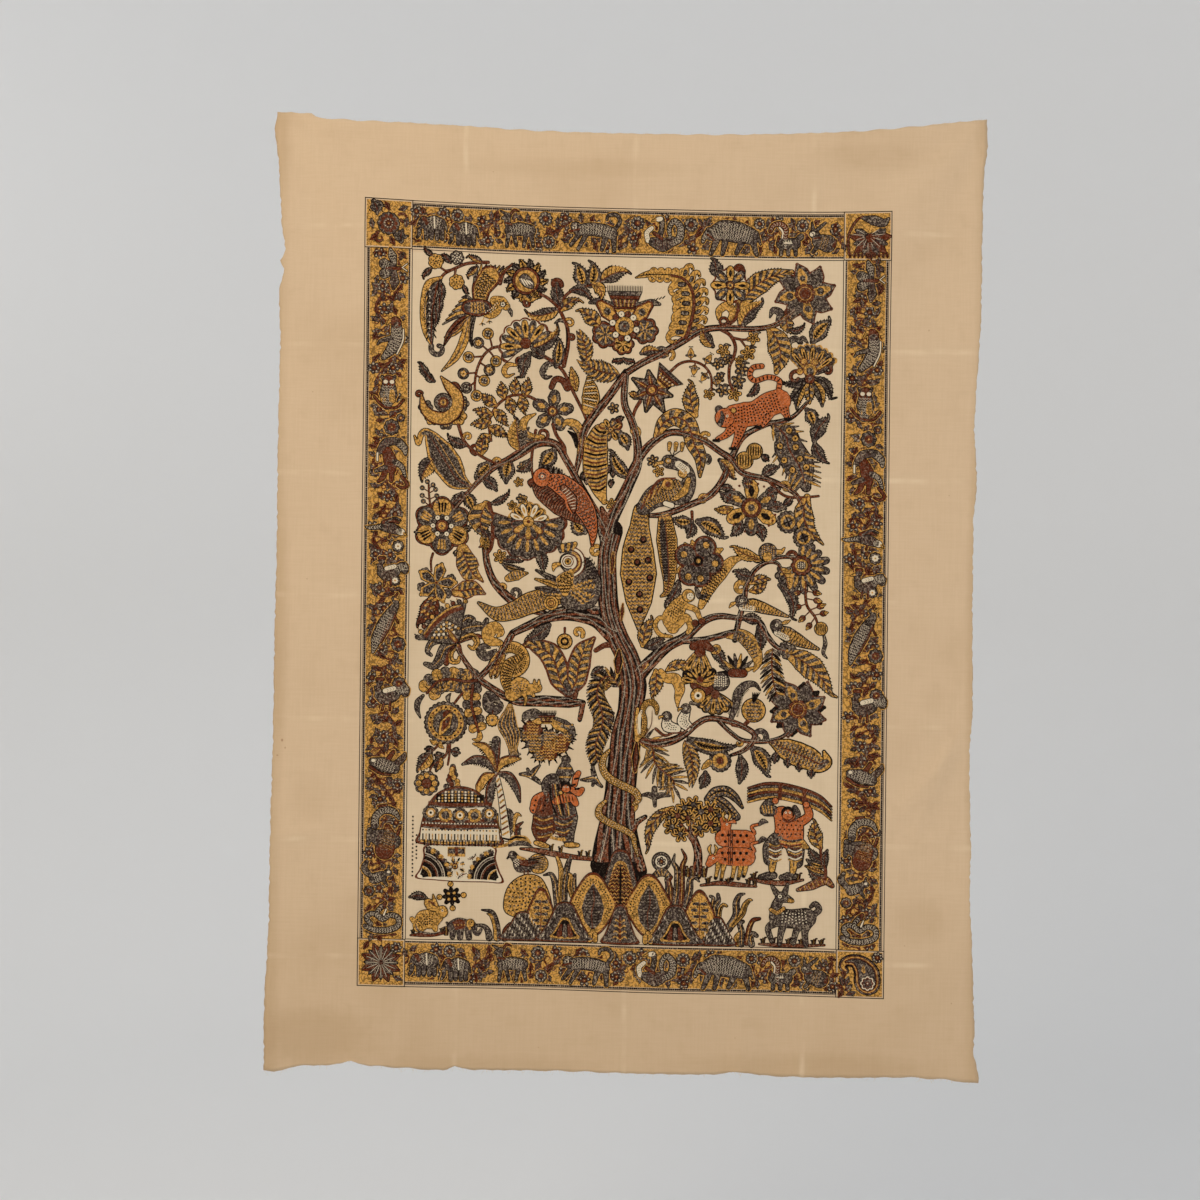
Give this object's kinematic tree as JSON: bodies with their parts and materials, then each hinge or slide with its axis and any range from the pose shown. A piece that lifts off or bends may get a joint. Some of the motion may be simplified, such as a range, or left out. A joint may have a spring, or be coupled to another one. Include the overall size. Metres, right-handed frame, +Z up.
{
  "type": "kalamkari wall panel",
  "caption": "Rectangular printed and pen-drawn cotton wall hanging, a thin upright sheet hung by its top edge, which is high at both corners and sags between them, with soft folds.",
  "frame": {"origin": "inside the cloth, 4 mm under the middle of its top edge", "axes": "+Z up along the hanging length, +X to the viewer's right across the width, -Y out of the printed face"},
  "size_m": [1.1313, 0.0145, 1.5204],
  "materials": {
    "cotton": "plain-woven undyed cotton, printed and painted in black, madder, ochre and grey, matt"
  },
  "bodies": {
    "root": {"cloth": "cotton"}
  },
  "joints": []
}
